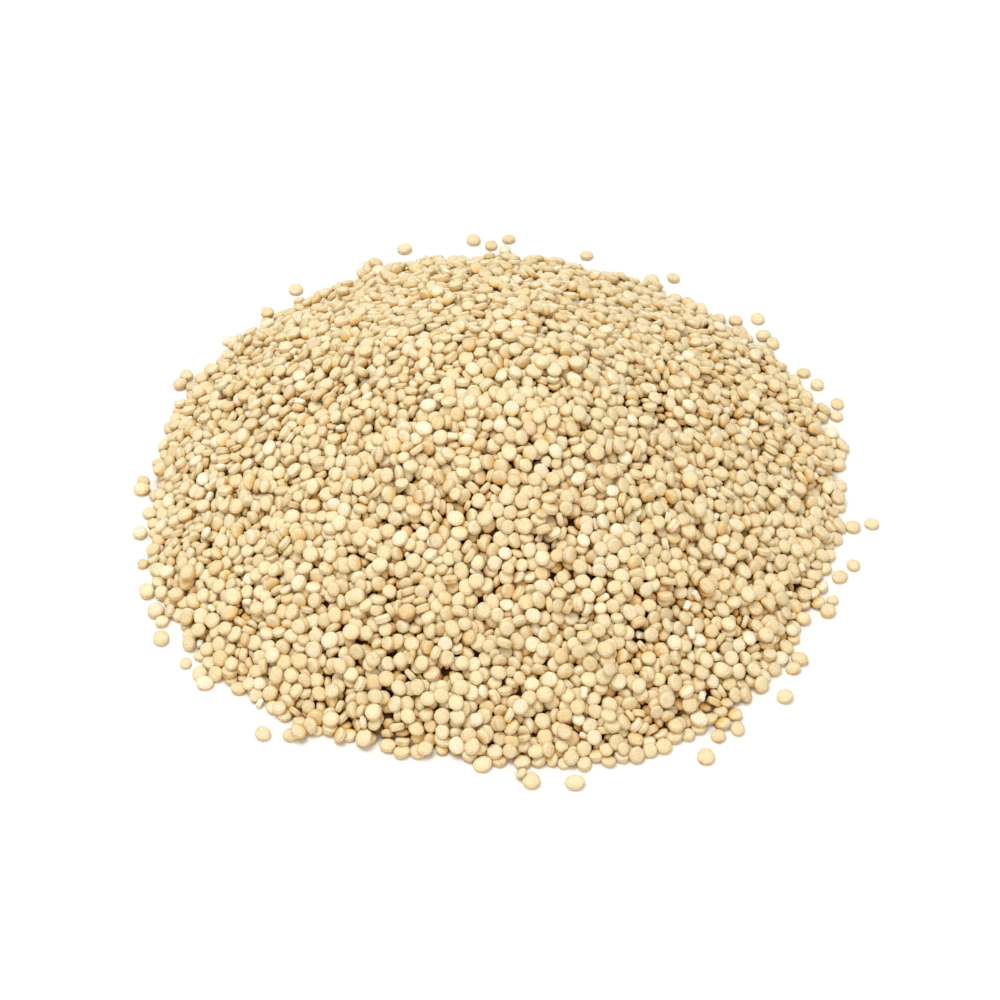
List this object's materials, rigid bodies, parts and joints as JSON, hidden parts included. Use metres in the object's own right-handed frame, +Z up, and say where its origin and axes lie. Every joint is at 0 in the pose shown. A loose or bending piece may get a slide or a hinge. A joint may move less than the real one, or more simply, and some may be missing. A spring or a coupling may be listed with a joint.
{
  "type": "heap of dry quinoa seeds",
  "caption": "Low round heap of dry uncooked quinoa seeds lying on a flat surface, with stray seeds round its foot.",
  "frame": {"origin": "centre of the common box of the heap and its stray seeds, on the surface that they lie on", "axes": "+Z up out of the surface through the top of the heap, -Y towards the heap's front, +X to its right"},
  "size_m": [0.1016, 0.1034, 0.0258],
  "materials": {
    "seed": "matte cream seed coat"
  },
  "bodies": {
    "root": {"quinoa_heap": "seed", "stray_seed_01": "seed", "stray_seed_02": "seed", "stray_seed_03": "seed", "stray_seed_04": "seed", "stray_seed_05": "seed", "stray_seed_06": "seed", "stray_seed_07": "seed", "stray_seed_08": "seed", "stray_seed_09": "seed", "stray_seed_10": "seed", "stray_seed_11": "seed", "stray_seed_12": "seed", "stray_seed_13": "seed", "stray_seed_14": "seed", "stray_seed_15": "seed", "stray_seed_16": "seed", "stray_seed_17": "seed", "stray_seed_18": "seed", "stray_seed_19": "seed", "stray_seed_20": "seed", "stray_seed_21": "seed", "stray_seed_22": "seed", "stray_seed_23": "seed", "stray_seed_24": "seed", "stray_seed_25": "seed", "stray_seed_26": "seed", "stray_seed_27": "seed"}
  },
  "joints": []
}
